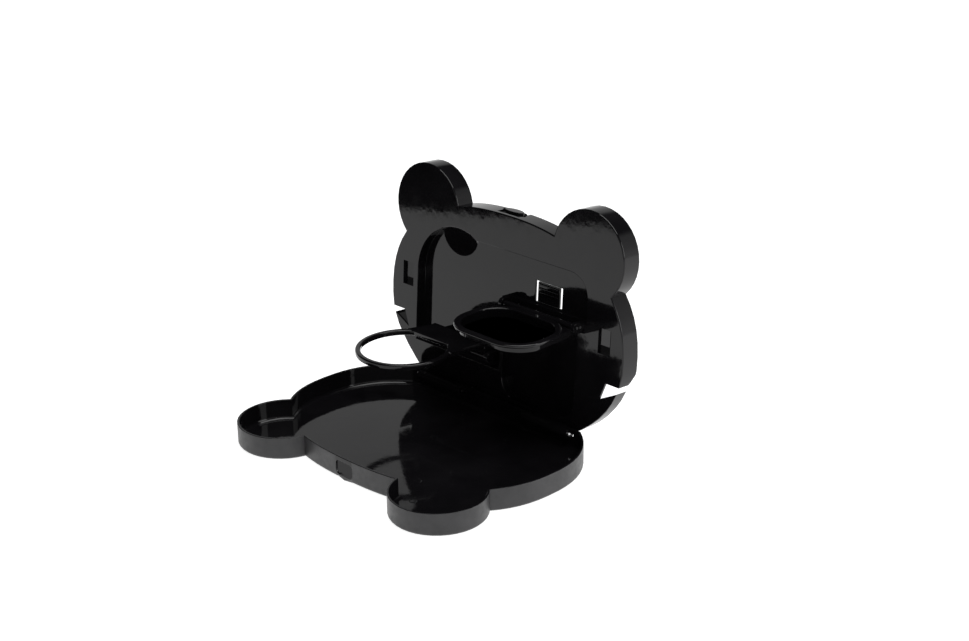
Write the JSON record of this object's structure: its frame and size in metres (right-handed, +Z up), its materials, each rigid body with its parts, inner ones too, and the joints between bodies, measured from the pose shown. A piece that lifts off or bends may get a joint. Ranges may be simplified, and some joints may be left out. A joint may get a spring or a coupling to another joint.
{
  "type": "folding seat back tray",
  "caption": "Folding seat-back tray with a bear-head outline: a rimmed tray hinged to an upright shell with a fold-out cup ring and a fold-down square holder.",
  "frame": {"origin": "centre of the footprint, on the surface that the open tray lies on", "axes": "+X along the tray hinge, +Y from the tray towards the upright shell, +Z up"},
  "size_m": [0.28, 0.2318, 0.2074],
  "materials": {
    "shell_plastic": "polished black ABS",
    "tray_plastic": "black ABS, polished inside, finely grained outside",
    "ring_plastic": "polished black ABS",
    "holder_plastic": "polished black ABS",
    "latch_plastic": "polished black ABS",
    "strap_bar_plastic": "black ABS",
    "pin_steel": "drawn steel wire"
  },
  "bodies": {
    "shell": {"back_shell": "shell_plastic", "tray_hinge_pin_left": "pin_steel", "tray_hinge_pin_right": "pin_steel", "cup_ring_pin": "pin_steel", "square_holder_pin_left": "pin_steel", "square_holder_pin_right": "pin_steel", "top_latch_pin": "pin_steel", "strap_bar_left": "strap_bar_plastic", "strap_bar_right": "strap_bar_plastic"},
    "tray": {"tray": "tray_plastic"},
    "ring": {"cup_ring": "ring_plastic"},
    "holder": {"square_holder": "holder_plastic"},
    "tongue": {"snap_tongue": "shell_plastic"},
    "latch": {"top_latch": "latch_plastic"}
  },
  "joints": [
    {"name": "tray_fold", "type": "hinge", "parent": "shell", "child": "tray", "pos_m": [0, 0.07823, 0.0138], "axis": [-1, 0, 0], "range_deg": [0, 93.8]},
    {"name": "ring_fold", "type": "hinge", "parent": "shell", "child": "ring", "pos_m": [-0.057, 0.08324, 0.05295], "axis": [-1, 0, 0], "range_deg": [0, 93.8]},
    {"name": "holder_fold", "type": "hinge", "parent": "shell", "child": "holder", "pos_m": [0.046, 0.08886, 0.1059], "axis": [1, 0, 0], "range_deg": [0, 86.2]},
    {"name": "tongue_flex", "type": "hinge", "parent": "shell", "child": "tongue", "pos_m": [0.046, 0.10163, 0.11106], "axis": [-1, 0, 0], "range_deg": [0, 8], "stiffness_Nm_per_rad": 0.2},
    {"name": "latch_swing", "type": "hinge", "parent": "shell", "child": "latch", "pos_m": [0, 0.1077, 0.17981], "axis": [1, 0, 0], "range_deg": [0, 270]}
  ],
  "couplings": [
    {"joint": "ring_fold", "follows": "tray_fold", "ratio": 1},
    {"joint": "holder_fold", "follows": "tray_fold", "ratio": 0.91898}
  ]
}
